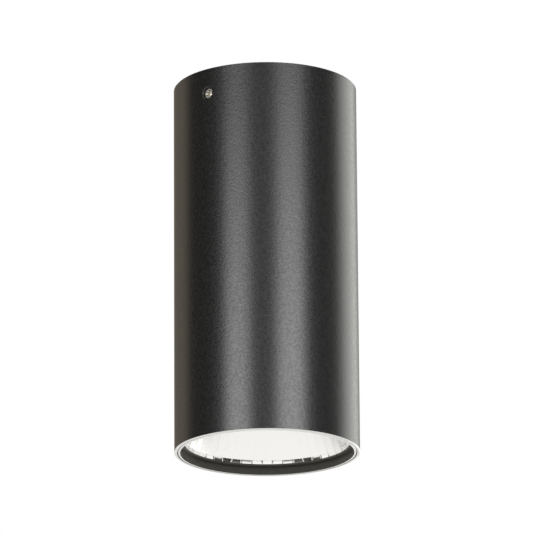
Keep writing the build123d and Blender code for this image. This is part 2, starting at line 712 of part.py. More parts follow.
def reflector_profile(t):
    """Radius and height of the facets' inside, from the throat (0) to the rolled row (1)."""
    throat_slope = math.tan(math.radians(THROAT_ANGLE))
    mouth_slope = math.tan(math.radians(MOUTH_ANGLE))
    depth = throat_z - rolled_z
    spread = rolled_radius - THROAT_RADIUS - depth * mouth_slope
    knee_depth = spread / (throat_slope - mouth_slope)
    knee_radius = THROAT_RADIUS + knee_depth * throat_slope
    start, knee, end = (1 - t) ** 2, 2 * t * (1 - t), t**2
    radius = start * THROAT_RADIUS + knee * knee_radius + end * rolled_radius
    return radius, throat_z - knee * knee_depth - end * depth


def reflector():
    """Reflector with flat facets and a rolled row inside, a smooth back and a flange on the bezel."""
    rows = [reflector_profile(i / FACET_ROWS) for i in range(FACET_ROWS + 1)]
    flange = lip_radius - FLANGE_CLEARANCE
    back = [(radius + REFLECTOR_WALL, z) for radius, z in rows if z > flange_top]
    neck = (mouth_radius + REFLECTOR_WALL, flange_top)
    rim = [(flange, flange_top), (flange, ledge_top)]
    body = turned((0, throat_z), *back, neck, *rim, (0, ledge_top))
    rows.append((mouth_radius, ledge_top))
    sections = [Pos(0, 0, z) * RegularPolygon(radius, FACETS) for radius, z in rows]
    return body - loft(sections, ruled=True)


def bezel_ring():
    """Threaded ring, flush with the tube's mouth, with a ledge for the reflector."""
    face = bezel_radius - BEZEL_CHAMFER
    return turned(
        (face, tube_bottom),
        (bezel_radius, tube_bottom + BEZEL_CHAMFER),
        (bezel_radius, bezel_top),
        (lip_radius, bezel_top),
        (lip_radius, ledge_top),
        (mouth_radius, ledge_top),
        (mouth_radius, ledge_bottom),
        (lip_radius, ledge_bottom),
        (lip_radius, tube_bottom),
    )


pieces = {
    "ceiling_bracket": ceiling_bracket(),
    "cable_grommet": cable_grommet(),
    "earth_screw": earth_screw(),
    "earth_washer": earth_washer(),
    "housing_tube": housing_tube(),
    "set_screw_left": set_screw(-1),
    "set_screw_right": set_screw(1),
    "heat_sink": heat_sink(),
    "heat_sink_screws": heat_sink_screws(),
    "lead_bushes": lead_bushes(),
    "thermal_pad": thermal_pad(),
    "led_board": led_board(),
    "led_emitter": led_emitter(),
    "led_holder": led_holder(),
    "led_holder_screws": led_holder_screws(),
    "driver_carrier": driver_carrier(),
    "carrier_screws": carrier_screws(),
    "driver_base": driver_base(),
    "driver_lid": driver_lid(),
    "driver_board": driver_board(),
    "driver_transformer": driver_transformer(),
    "driver_capacitors": driver_capacitors(),
    "driver_choke": driver_choke(),
    "driver_screws": driver_screws(),
    "terminal_block": terminal_block(),
    "terminal_screws": terminal_screws(),
    "cable_clamp": cable_clamp(),
    "clamp_screws": clamp_screws(),
    "lead_live": supply_lead(pole_ys[0]),
    "lead_neutral": supply_lead(pole_ys[1]),
    "lead_earth": lead_earth(),
    "earth_lug": earth_lug(),
    "earth_lug_screw": earth_lug_screw(),
    "lead_led_plus": led_lead(led_lead_x),
    "lead_led_minus": led_lead(-led_lead_x),
    "reflector": reflector(),
    "bezel_ring": bezel_ring(),
}

os.makedirs("parts", exist_ok=True)
for name, piece in pieces.items():
    export_step(piece, f"parts/{name}.step")
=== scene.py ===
import bpy
import bmesh
import math
from mathutils import Matrix, Vector


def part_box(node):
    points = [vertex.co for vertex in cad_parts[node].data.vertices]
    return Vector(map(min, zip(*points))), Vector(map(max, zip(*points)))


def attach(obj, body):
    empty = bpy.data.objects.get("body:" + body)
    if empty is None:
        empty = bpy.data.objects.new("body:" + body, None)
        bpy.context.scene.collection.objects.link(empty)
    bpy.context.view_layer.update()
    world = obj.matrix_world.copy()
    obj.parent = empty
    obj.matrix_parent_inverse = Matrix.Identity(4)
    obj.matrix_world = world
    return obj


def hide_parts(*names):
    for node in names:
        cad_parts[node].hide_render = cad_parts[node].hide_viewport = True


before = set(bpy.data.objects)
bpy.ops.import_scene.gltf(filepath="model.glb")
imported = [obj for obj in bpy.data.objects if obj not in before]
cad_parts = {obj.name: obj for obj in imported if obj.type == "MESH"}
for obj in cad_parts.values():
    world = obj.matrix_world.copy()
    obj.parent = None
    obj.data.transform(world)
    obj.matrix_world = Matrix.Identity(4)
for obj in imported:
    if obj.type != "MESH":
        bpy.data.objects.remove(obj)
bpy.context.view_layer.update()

# Ceiling bracket: a round plate with two ears, cut from 2 mm steel sheet, bent and zinc plated.
# Two ceiling screws hold it through its slots, and the tube's set screws press on its ears.
MM = 0.001
SHEET_EDGE = 0.15 * MM  # left by deburring
MERGE_DISTANCE = 0.002 * MM
FLAT_ANGLE = math.radians(0.2)
CORNER_ANGLE = math.radians(35)
MIX_A, MIX_B, MIX_COLOUR = 6, 7, 2  # the colour sockets of a Mix node
NOISE_LOW, NOISE_HIGH = 0.3, 0.7  # between which most of a noise lies
GRAIN_DETAIL = 4.0  # finer layers of noise in a grain


def linear(hex_colour):
    """An sRGB hex value as the linear colour that shaders take."""
    channels = [int(hex_colour[i : i + 2], 16) / 255 for i in (1, 3, 5)]
    return [c / 12.92 if c <= 0.04045 else ((c + 0.055) / 1.055) ** 2.4 for c in channels] + [1.0]


def add(tree, kind, inputs=None, **settings):
    """Adds a node: its settings first, then each input from a value, a socket or a node's first output."""
    made = tree.nodes.new(kind)
    for name, value in settings.items():
        setattr(made, name, value)
    for name, value in (inputs or {}).items():
        if isinstance(value, bpy.types.Node):
            value = value.outputs[0]
        if isinstance(value, bpy.types.NodeSocket):
            tree.links.new(value, made.inputs[name])
        else:
            made.inputs[name].default_value = value
    return made


def begun(name, **sockets):
    """A new material with its constants set: the material, its tree, its shader and its coordinates."""
    made = bpy.data.materials.new(name)
    made.use_nodes = True
    tree = made.node_tree
    shader = tree.nodes["Principled BSDF"]
    for socket, value in sockets.items():
        shader.inputs[socket.replace("_", " ")].default_value = value
    return made, tree, shader, add(tree, "ShaderNodeTexCoord").outputs["Object"]


def surfaced(tree, shader, pattern, dark, light, smooth, rough, depth):
    """Lets one pattern set a shader's colour, roughness and height."""
    tones = {0: pattern, MIX_A: linear(dark), MIX_B: linear(light)}
    colour = add(tree, "ShaderNodeMix", tones, data_type="RGBA").outputs[MIX_COLOUR]
    spread = {"Value": pattern, "From Min": NOISE_LOW, "From Max": NOISE_HIGH}
    spread.update({"To Min": smooth, "To Max": rough})
    roughness = add(tree, "ShaderNodeMapRange", spread).outputs["Result"]
    bump = add(tree, "ShaderNodeBump", {"Height": pattern, "Distance": depth}).outputs["Normal"]
    tree.links.new(colour, shader.inputs["Base Color"])
    tree.links.new(roughness, shader.inputs["Roughness"])
    tree.links.new(bump, shader.inputs["Normal"])


def grained(name, dark, light, smooth, rough, grain, depth, stretch=(1, 1, 1), **sockets):
    """A material with an even grain of the size and depth given."""
    made, tree, shader, place = begun(name, **sockets)
    place = add(tree, "ShaderNodeMapping", {"Vector": place, "Scale": stretch})
    noise = add(tree, "ShaderNodeTexNoise", {"Vector": place, "Scale": 1 / grain, "Detail": GRAIN_DETAIL})
    surfaced(tree, shader, noise, dark, light, smooth, rough, depth)
    return made


def merged(node):
    """A solid's mesh as an editable shape, with its loose triangles joined."""
    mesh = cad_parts[node].data.copy()
    if "custom_normal" in mesh.attributes:
        mesh.attributes.remove(mesh.attributes["custom_normal"])
    shape = bmesh.new()
    shape.from_mesh(mesh)
    bmesh.ops.remove_doubles(shape, verts=shape.verts, dist=MERGE_DISTANCE)
    bpy.data.meshes.remove(mesh)
    return shape


def piece_from(name, shape, *materials):
    """A new object from a shape, smooth but for its corners."""
    mesh = bpy.data.meshes.new(name)
    shape.to_mesh(mesh)
    shape.free()
    for material in materials:
        mesh.materials.append(material)
    mesh.shade_smooth()
    mesh.set_sharp_from_angle(angle=CORNER_ANGLE)
    piece = bpy.data.objects.new(name, mesh)
    bpy.context.scene.collection.objects.link(piece)
    return piece


def made_plain(piece):
    """The piece with what its modifiers make as a plain mesh."""
    depsgraph = bpy.context.evaluated_depsgraph_get()
    mesh = bpy.data.meshes.new_from_object(piece.evaluated_get(depsgraph))
    piece.modifiers.clear()
    piece.data = mesh
    return piece


def evened(piece):
    """The piece with its flat faces shaded flat up to their rounded edges."""
    piece.modifiers.new("even_faces", "WEIGHTED_NORMAL").keep_sharp = True
    return made_plain(piece)


def softened(node, name, edge, material):
    """A copy of a solid with its flat faces whole and its corners rounded by the edge given."""
    shape = merged(node)
    bmesh.ops.dissolve_limit(shape, angle_limit=FLAT_ANGLE, verts=shape.verts, edges=shape.edges)
    piece = piece_from(name, shape, material)
    bevel = piece.modifiers.new("rounded_edges", "BEVEL")
    bevel.width = edge
    bevel.segments = 2
    bevel.limit_method = "ANGLE"
    bevel.angle_limit = CORNER_ANGLE
    return evened(piece)


def fit(piece, body, slot, *nodes):
    """Puts a piece on its body in place of its nodes. The slot is not used."""
    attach(piece, body)
    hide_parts(*nodes)


# Zinc plating is a bright bluish grey with a cloudy mottle, drawn out along the rolled sheet.
zinc = grained(
    "zinc_plated_steel", dark="#b2b5b8", light="#c3c6c8", smooth=0.36, rough=0.42,
    grain=4 * MM, depth=0.0005 * MM, stretch=(0.3, 1, 1), Metallic=1.0,
)
bracket = softened("ceiling_bracket", "bracket", SHEET_EDGE, zinc)
fit(bracket, "bracket", "zinc_steel", "ceiling_bracket")

# Cable grommet: moulded black rubber, pushed into the bracket's inlet from below.
# Its flange lies under the plate, and its nose lets the supply cable through.
GROMMET_SIDES = 72
GROMMET_ROUNDING = 0.6 * MM
ROUNDING_STEPS = 5
EDGE_SHARE = 0.45  # of an edge, the most that a rounded corner takes
GROMMET_BORE = 4 * MM
GROMMET_NECK = 8.8 * MM
GROMMET_SHOULDER = 8 * MM
GROMMET_NOSE = 6 * MM
PLATE_UNDER = -2 * MM
FLANGE_UNDER = -4 * MM
grommet_low, grommet_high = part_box("cable_grommet")


def circle(radius, height, sides):
    """A ring of points about Z."""
    angles = [math.tau * i / sides for i in range(sides)]
    return [Vector((radius * math.cos(a), radius * math.sin(a), height)) for a in angles]


def skinned(rings, closed):
    """A shape through rings of points. A closed one joins its last ring to its first, others have caps."""
    shape = bmesh.new()
    loops = [[shape.verts.new(point) for point in ring] for ring in rings]
    for loop, following in zip(loops, loops[1:] + loops[:1] if closed else loops[1:]):
        for i in range(len(loop)):
            shape.faces.new((loop[i - 1], loop[i], following[i], following[i - 1]))
    if not closed:
        for loop in (loops[0], loops[-1]):
            shape.faces.new(loop)
    bmesh.ops.recalc_face_normals(shape, faces=shape.faces)
    return shape


def rounded(outline, radius):
    """A closed outline with its corners rounded, by less where an edge is short."""
    points = []
    outline = [Vector(point) for point in outline]
    for before, corner, after in zip(outline[-1:] + outline[:-1], outline, outline[1:] + outline[:1]):
        legs = [before - corner, after - corner]
        cut = min(radius, EDGE_SHARE * legs[0].length, EDGE_SHARE * legs[1].length)
        start, end = [corner + leg.normalized() * cut for leg in legs]
        for i in range(ROUNDING_STEPS + 1):
            t = i / ROUNDING_STEPS
            points.append(start.lerp(corner, t).lerp(corner.lerp(end, t), t))
    return points


def turned(outline, sides):
    """A closed shape turned about Z from an outline of radius and height."""
    return skinned([circle(radius, height, sides) for radius, height in outline], closed=True)


# Moulded rubber is near black and matt, with the fine bloom of its mould.
rubber = grained(
    "moulded_black_rubber", dark="#161616", light="#242322", smooth=0.6, rough=0.8,
    grain=0.35 * MM, depth=0.008 * MM,
)
outline = [
    (GROMMET_BORE, grommet_high.z),
    (GROMMET_NECK, grommet_high.z),
    (GROMMET_NECK, PLATE_UNDER),
    (grommet_high.x, PLATE_UNDER),
    (grommet_high.x, FLANGE_UNDER),
    (GROMMET_SHOULDER, FLANGE_UNDER),
    (GROMMET_NOSE, grommet_low.z),
    (GROMMET_BORE, grommet_low.z),
]
grommet = piece_from("grommet", turned(rounded(outline, GROMMET_ROUNDING), GROMMET_SIDES), rubber)
fit(evened(grommet), "bracket", "black_rubber", "cable_grommet")

# Earth terminal: a pan-head screw with a plain washer, both zinc plated, driven up into the plate.
# All the light's pan-head screws have this form: a rounded head, a hexagon socket and a cut thread.
SCREW_SIDES = 48
RINGS_IN_A_TURN = 6
THREAD_DEPTH = 0.12  # in screw radii, as is each size of a head
HEAD_RADIUS = 1.8
HEAD_RISE = 1.2
HEAD_ROUNDING = 0.25
HEAD_BEND = HEAD_ROUNDING / 4  # from the middle of the rounding to the head's side and top
SOCKET_ACROSS = 0.866  # half the size across the flats
SOCKET_DEPTH = 0.6
SOCKET_POINT_ACROSS = 0.7 * SOCKET_ACROSS  # at the foot of the drilled point under the socket
SOCKET_POINT_DEPTH = 1.15 * SOCKET_DEPTH
EARTH_RADIUS = 2 * MM
EARTH_PITCH = 0.7 * MM
EARTH_RECESS = 0.3 * MM  # from the plate's upper face to the screw's end
TURNED_UP = (0, 0, 0)
TURNED_DOWN = (math.pi, 0, 0)
TURNED_BACK = (-math.pi / 2, 0, 0)
TURNED_FORWARD = (math.pi / 2, 0, 0)
washer_low, washer_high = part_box("earth_washer")


def hexagon(across, height, sides):
    """A ring of points on a hexagon, given by half its size across the flats."""
    ring = []
    for i in range(sides):
        angle = math.tau * i / sides
        from_flat = (angle + math.pi / 6) % (math.pi / 3) - math.pi / 6
        reach = across / math.cos(from_flat)
        ring.append(Vector((reach * math.cos(angle), reach * math.sin(angle), height)))
    return ring


def thread(radius, depth, pitch, low, high, sides):
    """Rings of a right-hand thread that runs out at both ends."""
    count = max(2, round((high - low) / pitch * RINGS_IN_A_TURN))
    rings = []
    for i in range(count + 1):
        height = low + (high - low) * i / count
        runout = min(1.0, (height - low) / pitch, (high - height) / pitch)
        ring = circle(1.0, height, sides)
        for j, point in enumerate(ring):
            valley = abs(2 * ((height / pitch - j / sides) % 1) - 1)
            point.xy *= radius - depth * runout * valley
        rings.append(ring)
    return rings


def pan_head_screw(radius, length, pitch):
    """A screw whose head seats at the origin and whose shank runs up from it."""
    top = -HEAD_RISE * radius
    head = [
        hexagon(SOCKET_POINT_ACROSS * radius, top + SOCKET_POINT_DEPTH * radius, SCREW_SIDES),
        hexagon(SOCKET_ACROSS * radius, top + SOCKET_DEPTH * radius, SCREW_SIDES),
        hexagon(SOCKET_ACROSS * radius, top, SCREW_SIDES),
        circle((HEAD_RADIUS - HEAD_ROUNDING) * radius, top, SCREW_SIDES),
        circle((HEAD_RADIUS - HEAD_BEND) * radius, top + HEAD_BEND * radius, SCREW_SIDES),
        circle(HEAD_RADIUS * radius, top + HEAD_ROUNDING * radius, SCREW_SIDES),
        circle(HEAD_RADIUS * radius, 0, SCREW_SIDES),
    ]
    shank = thread(radius, THREAD_DEPTH * radius, pitch, 0, length, SCREW_SIDES)
    return skinned(head + shank, closed=False)


# Every group of screws is set out by one tree: a screw on each seat, all turned the same way.
screw_tree = bpy.data.node_groups.new("screws_on_seats", "GeometryNodeTree")
screw_tree.is_modifier = True
for label, kind in (("Seats", "Geometry"), ("Screw", "Object"), ("Turn", "Vector"), ("Finish", "Material")):
    screw_tree.interface.new_socket(label, in_out="INPUT", socket_type="NodeSocket" + kind)
screw_tree.interface.new_socket("Screws", in_out="OUTPUT", socket_type="NodeSocketGeometry")
given = add(screw_tree, "NodeGroupInput").outputs
source = add(screw_tree, "GeometryNodeObjectInfo", {"Object": given["Screw"]}).outputs["Geometry"]
seats = {"Points": given["Seats"], "Instance": source, "Rotation": given["Turn"]}
copies = add(screw_tree, "GeometryNodeInstanceOnPoints", seats)
real = add(screw_tree, "GeometryNodeRealizeInstances", {"Geometry": copies})
dressed = add(screw_tree, "GeometryNodeSetMaterial", {"Geometry": real, "Material": given["Finish"]})
add(screw_tree, "NodeGroupOutput", {"Screws": dressed})


def made_by(tree, piece, **values):
    """Runs a tree on a piece with the named inputs given, and leaves a plain mesh."""
    modifier = piece.modifiers.new(tree.name, "NODES")
    modifier.node_group = tree
    for socket in tree.interface.items_tree:
        if socket.in_out == "INPUT" and socket.name in values:
            modifier[socket.identifier] = values[socket.name]
    return made_plain(piece)


def set_out(name, screw, seats, turn, material):
    """Screws of one shape on the seats given, as one piece."""
    pattern = piece_from(name + "_pattern", screw)
    points = bpy.data.meshes.new(name)
    points.from_pydata(seats, [], [])
    piece = bpy.data.objects.new(name, points)
    bpy.context.scene.collection.objects.link(piece)
    made_by(screw_tree, piece, Screw=pattern, Turn=turn, Finish=material)
    bpy.data.objects.remove(pattern)
    return evened(piece)


earth_x = (washer_low.x + washer_high.x) / 2
earth_y = (washer_low.y + washer_high.y) / 2
earth_length = -EARTH_RECESS - washer_low.z
washer = softened("earth_washer", "earth_washer_plated", SHEET_EDGE, zinc)
fit(washer, "bracket", "zinc_steel", "earth_washer")
earth_shape = pan_head_screw(EARTH_RADIUS, earth_length, EARTH_PITCH)
earth = set_out("earth_terminal", earth_shape, [(earth_x, earth_y, washer_low.z)], TURNED_UP, zinc)
fit(earth, "bracket", "zinc_steel", "earth_screw")

# Tube: drawn aluminium tube, faced at both ends, tapped for the set screws and powder coated outside.
# The coat runs into the screws' holes, and stops at the mouth, where the end was faced after coating.
tube_low, tube_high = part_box("housing_tube")
left_low, left_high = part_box("set_screw_left")
TUBE_RADIUS = tube_high.x
TUBE_EDGE = 0.3 * MM
RIM_WIDTH = 1.2 * MM
HOLE_FLARE = 3.3 * MM  # from a set screw's axis to the edge of its hole
SCREW_HEIGHT = (left_low.z + left_high.z) / 2
LEANING = 0.3  # part of a normal, from which a face counts as turned that way
ROUND_WALL = 0.98  # part of a normal, from which a face belongs to the tube's round outside
COAT, BARE, DRAWN = range(3)
COAT_GRAIN = 1.2 * MM  # coarser than in the real coat, so that it shows
COAT_DETAIL = 1.0
COAT_DEPTH = 0.03 * MM
FACING_STEP = 0.12 * MM  # between the lines of the lathe tool, coarser than on the real face
ACROSS_TUBE = (1, 1, 0)  # the parts of a place across the tube's axis


def tube_finish(face):
    """Which finish a face of the tube has."""
    middle = face.calc_center_median()
    reach = middle.xy.length
    outward = face.normal.xy.dot(middle.xy) / reach
    at_hole = math.hypot(middle.y, middle.z - SCREW_HEIGHT) < HOLE_FLARE and outward > -LEANING
    at_top = face.normal.z > LEANING and middle.z > tube_high.z - TUBE_EDGE
    at_outside = reach > TUBE_RADIUS - RIM_WIDTH
    if at_outside and face.normal.z < -LEANING and middle.z < tube_low.z + TUBE_EDGE:
        return BARE
    if at_hole or at_top or at_outside and outward > LEANING:
        return COAT
    return DRAWN


def reach_from(tree, place, across):
    """How far a place lies from an axis, by its parts across that axis."""
    flat = add(tree, "ShaderNodeVectorMath", {0: place, 1: across}, operation="MULTIPLY")
    return add(tree, "ShaderNodeVectorMath", {0: flat}, operation="LENGTH").outputs["Value"]


# Fine-texture powder coat is a hard satin skin of fused grains, close to black and a little warm.
powder, tree, shader, place = begun("fine_texture_powder_coat")
grain = {"Vector": place, "Scale": 1 / COAT_GRAIN, "Detail": COAT_DETAIL}
grain = add(tree, "ShaderNodeTexNoise", grain)
surfaced(tree, shader, grain, dark="#131313", light="#1e1e1d", smooth=0.28, rough=0.36, depth=COAT_DEPTH)

# A faced end is bright metal with the fine rings that the lathe tool leaves.
faced, tree, shader, place = begun("faced_aluminium", Metallic=1.0)
reach = reach_from(tree, place, ACROSS_TUBE)
rings = add(tree, "ShaderNodeTexNoise", {"W": reach, "Scale": 1 / FACING_STEP}, noise_dimensions="1D")
surfaced(tree, shader, rings, dark="#d0cec9", light="#e6e5e1", smooth=0.2, rough=0.34, depth=0.002 * MM)

# Drawn aluminium is a duller grey inside the tube, with long straight die lines.
drawn = grained(
    "drawn_aluminium", dark="#9c9c9a", light="#bcbcba", smooth=0.32, rough=0.5,
    grain=0.5 * MM, depth=0.004 * MM, stretch=(1, 1, 0.01), Metallic=1.0,
)
shape = merged("housing_tube")
shape.normal_update()
for face in shape.faces:
    face.material_index = tube_finish(face)
tube = piece_from("tube", shape, powder, faced, drawn)
# The round outside is shaded as a true cylinder, so that none of its narrow faces shows.
normals = [Vector((0, 0, 0))] * len(tube.data.loops)
for face in tube.data.polygons:
    if face.material_index == COAT and face.normal.xy.dot(face.center.xy.normalized()) > ROUND_WALL:
        for loop in face.loop_indices:
            point = tube.data.vertices[tube.data.loops[loop].vertex_index].co
            normals[loop] = Vector((point.x, point.y, 0)).normalized()
tube.data.normals_split_custom_set(normals)
fit(tube, "housing", "powder_coat", "housing_tube")

# Set screws: stainless M5 grub screws with a hexagon socket, one in each tapped hole of the tube.
# They are turned from bar, and their flat tips press on the bracket's ears.
SET_SCREW_RADIUS = 2.5 * MM
SET_SCREW_PITCH = 0.8 * MM
SET_SCREW_THREAD = 0.4 * MM
SET_SCREW_CHAMFER = 0.35 * MM
SET_SCREW_SOCKET = 1.25 * MM  # half its size across the flats
SET_SCREW_SOCKET_DEPTH = 2 * MM
SET_SCREW_LEAD = 0.25 * MM  # chamfer of the socket's mouth
SET_SCREW_POINT = 0.4 * MM  # depth of the drilled point under the socket
SET_SCREW_POINT_END = 0.02 * MM
SET_SCREW_TURN = math.radians(30)  # as it was tightened
SET_SCREW_SIDES = 72
TURNING_STEP = 0.1 * MM  # between the lines of the turning tool
TURNING_DEPTH = 0.025 * MM
ACROSS_SET_SCREW = (0, 1, 1)


def set_screw(length):
    """A set screw that runs up from its tip at the origin."""
    inner = SET_SCREW_RADIUS - SET_SCREW_CHAMFER
    shank_top = length - SET_SCREW_CHAMFER
    floor = length - SET_SCREW_SOCKET_DEPTH
    rings = [circle(inner, 0, SET_SCREW_SIDES)]
    rings += thread(
        SET_SCREW_RADIUS, SET_SCREW_THREAD, SET_SCREW_PITCH, SET_SCREW_CHAMFER, shank_top, SET_SCREW_SIDES
    )
    rings += [
        circle(inner, length, SET_SCREW_SIDES),
        circle(SET_SCREW_SOCKET + SET_SCREW_LEAD, length, SET_SCREW_SIDES),
        hexagon(SET_SCREW_SOCKET, length - SET_SCREW_LEAD, SET_SCREW_SIDES),
        hexagon(SET_SCREW_SOCKET, floor, SET_SCREW_SIDES),
        circle(SET_SCREW_SOCKET, floor, SET_SCREW_SIDES),
        circle(SET_SCREW_POINT_END, floor - SET_SCREW_POINT, SET_SCREW_SIDES),
    ]
    return skinned(rings, closed=False)


# Turned stainless steel is a warm bright grey, with fine rings from the tool about the screw's axis.
stainless, tree, shader, place = begun("turned_stainless_steel", Metallic=1.0)
place = add(tree, "ShaderNodeVectorMath", {0: place, 1: (0, 0, -SCREW_HEIGHT)}, operation="ADD")
reach = reach_from(tree, place, ACROSS_SET_SCREW)
rings = add(tree, "ShaderNodeTexNoise", {"W": reach, "Scale": 1 / TURNING_STEP}, noise_dimensions="1D")
surfaced(
    tree, shader, rings, dark="#c4c0b6", light="#e6e2d8", smooth=0.32, rough=0.48, depth=TURNING_DEPTH
)
for side, label in ((-1, "left"), (1, "right")):
    low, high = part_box("set_screw_" + label)
    tip = min(abs(low.x), abs(high.x))
    shape = set_screw(high.x - low.x)
    shape.transform(Matrix.Rotation(SET_SCREW_TURN, 4, "Z"))
    shape.transform(Matrix.Rotation(side * math.pi / 2, 4, "Y"))
    shape.transform(Matrix.Translation((side * tip, 0, SCREW_HEIGHT)))
    screw = evened(piece_from("grub_screw_" + label, shape, stainless))
    fit(screw, "set_screw_" + label, "stainless_steel", "set_screw_" + label)

# Heat sink: one aluminium casting with a round base, upright fins and two posts.
# Three screws from below hold it to the tube's ports, and two rubber bushes line its wire holes.
CAST_EDGE = 0.4 * MM
PORT_CIRCLE = 34.3 * MM
PORT_ANGLES = (90, 210, 330)
M3_RADIUS = 1.5 * MM
M3_PITCH = 0.5 * MM
SCREW_SINK = 7 * MM  # depth of a fixing screw in its hole
BASE_THICKNESS = 6 * MM
sink_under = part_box("heat_sink")[0].z


def dress(material, *nodes):
    """Gives a finish to solids that stay as they are."""
    for node in nodes:
        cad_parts[node].data.materials.clear()
        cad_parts[node].data.materials.append(material)


# Cast aluminium is a dull light grey with the soft grain of its mould.
cast = grained(
    "cast_aluminium", dark="#8d8e8e", light="#adaeae", smooth=0.42, rough=0.62,
    grain=0.9 * MM, depth=0.03 * MM, Metallic=1.0,
)
heat_sink = softened("heat_sink", "heat_sink_casting", CAST_EDGE, cast)
fit(heat_sink, "housing", "cast_aluminium", "heat_sink")
seats = []
for angle in PORT_ANGLES:
    x = PORT_CIRCLE * math.cos(math.radians(angle))
    y = PORT_CIRCLE * math.sin(math.radians(angle))
    seats.append((x, y, sink_under))
sink_shape = pan_head_screw(M3_RADIUS, BASE_THICKNESS + SCREW_SINK, M3_PITCH)
sink_screws = set_out("heat_sink_fixings", sink_shape, seats, TURNED_UP, zinc)
fit(sink_screws, "housing", "zinc_steel", "heat_sink_screws")
dress(rubber, "lead_bushes")

# Light source: a ceramic board with a round emitter, on a soft pad against the heat sink.
# A moulded white holder clamps it, with two sunk screws.
HOLDER_EDGE = 0.25 * MM
HOLDER_SCREW_RADIUS = 1.25 * MM
HOLDER_SCREW_PITCH = 0.45 * MM
HOLDER_SCREW_X = 17.5 * MM
HOLDER_SCREW_RECESS = 2 * MM
SCREW_END_GAP = 0.05 * MM  # from a screw's end to the bottom of its hole
EMITTER_SIDES = 96
EMITTER_DAM = 0.5 * MM  # width of the round wall that holds the gel
DAM_STEPS = 6

# A gap pad is soft grey silicone with a dusty surface.
pad = grained(
    "silicone_gap_pad", dark="#8b9097", light="#a1a6ac", smooth=0.7, rough=0.9,
    grain=0.4 * MM, depth=0.01 * MM,
)
# Fired alumina is a clean white with a slight gloss and tiny pores.
ceramic = grained(
    "fired_alumina", dark="#dededa", light="#efefec", smooth=0.3, rough=0.45,
    grain=0.3 * MM, depth=0.002 * MM,
)
# Phosphor in silicone is a deep yellow gel, smooth and slightly glossy.
phosphor = grained(
    "phosphor_silicone", dark="#d9a92a", light="#ecc24a", smooth=0.18, rough=0.3,
    grain=0.25 * MM, depth=0.003 * MM, IOR=1.41, Subsurface_Weight=0.2, Subsurface_Scale=0.5 * MM,
)
# White nylon is a soft off-white with the fine spark texture of its mould.
white_nylon = grained(
    "moulded_white_nylon", dark="#dddcd7", light="#eceae6", smooth=0.42, rough=0.58,
    grain=0.4 * MM, depth=0.006 * MM,
)
dress(pad, "thermal_pad")
dress(ceramic, "led_board")
emitter_low, emitter_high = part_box("led_emitter")
dam_middle = emitter_high.x - EMITTER_DAM / 2
gel_z = (emitter_low.z + emitter_high.z) / 2
rings = []
for i in range(DAM_STEPS + 1):
    turn = math.pi * i / DAM_STEPS
    reach = dam_middle - EMITTER_DAM / 2 * math.cos(turn)
    rings.append(circle(reach, gel_z + (emitter_low.z - gel_z) * math.sin(turn), EMITTER_SIDES))
rings.append(circle(emitter_high.x, emitter_high.z, EMITTER_SIDES))
emitter = evened(piece_from("emitter_gel", skinned(rings, closed=False), phosphor))
fit(emitter, "housing", "yellow_phosphor", "led_emitter")
holder_low, holder_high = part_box("led_holder")
holder = softened("led_holder", "light_source_holder", HOLDER_EDGE, white_nylon)
fit(holder, "housing", "white_nylon", "led_holder")
holder_seat = holder_low.z + HOLDER_SCREW_RECESS
holder_reach = holder_high.z - holder_seat + BASE_THICKNESS / 2 - SCREW_END_GAP
seats = [(x, 0, holder_seat) for x in (-HOLDER_SCREW_X, HOLDER_SCREW_X)]
holder_shape = pan_head_screw(HOLDER_SCREW_RADIUS, holder_reach, HOLDER_SCREW_PITCH)
holder_screws = set_out("holder_fixings", holder_shape, seats, TURNED_UP, zinc)
fit(holder_screws, "housing", "zinc_steel", "led_holder_screws")

# Carrier: bent zinc-plated sheet on the heat sink's posts.
# It holds the power supply at its back wall and the terminals on its shelf.
CARRIER_SHEET = 1.5 * MM
POST_X = 21 * MM
carrier_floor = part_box("driver_carrier")[0].z
carrier = softened("driver_carrier", "carrier_sheet", SHEET_EDGE, zinc)
fit(carrier, "housing", "zinc_steel", "driver_carrier")
seats = [(x, 0, carrier_floor + CARRIER_SHEET) for x in (-POST_X, POST_X)]
carrier_shape = pan_head_screw(M3_RADIUS, CARRIER_SHEET + SCREW_SINK - SCREW_END_GAP, M3_PITCH)
carrier_screws = set_out("carrier_fixings", carrier_shape, seats, TURNED_DOWN, zinc)
fit(carrier_screws, "housing", "zinc_steel", "carrier_screws")

# Power supply: a moulded white case with a snap-on lid, round a green circuit board.
# Two screws through its lugs hold it to the carrier.
CASE_EDGE = 0.35 * MM
LUG_THICKNESS = 2 * MM
LUG_SCREW_X = 19 * MM
case_low, case_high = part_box("driver_base")
case = softened("driver_base", "power_supply_case", CASE_EDGE, white_nylon)
fit(case, "housing", "white_nylon", "driver_base")
lid = softened("driver_lid", "power_supply_lid", CASE_EDGE, white_nylon)
fit(lid, "housing", "white_nylon", "driver_lid")
lug_front = case_high.y - LUG_THICKNESS
lug_middle = (case_low.z + case_high.z) / 2
seats = [(x, lug_front, lug_middle) for x in (-LUG_SCREW_X, LUG_SCREW_X)]
case_shape = pan_head_screw(M3_RADIUS, LUG_THICKNESS + CARRIER_SHEET + M3_RADIUS, M3_PITCH)
case_screws = set_out("power_supply_fixings", case_shape, seats, TURNED_BACK, zinc)
fit(case_screws, "housing", "zinc_steel", "driver_screws")
# Solder mask is a glossy green lacquer over the weave of the laminate.
laminate = grained(
    "green_solder_mask", dark="#12502a", light="#1d6a3a", smooth=0.22, rough=0.36,
    grain=0.5 * MM, depth=0.006 * MM,
)
# Polyester tape is a glossy amber film, wound in layers.
tape = grained(
    "polyester_tape", dark="#c89a1c", light="#e0b53a", smooth=0.2, rough=0.34,
    grain=1.2 * MM, depth=0.01 * MM, stretch=(0.1, 1, 1),
)
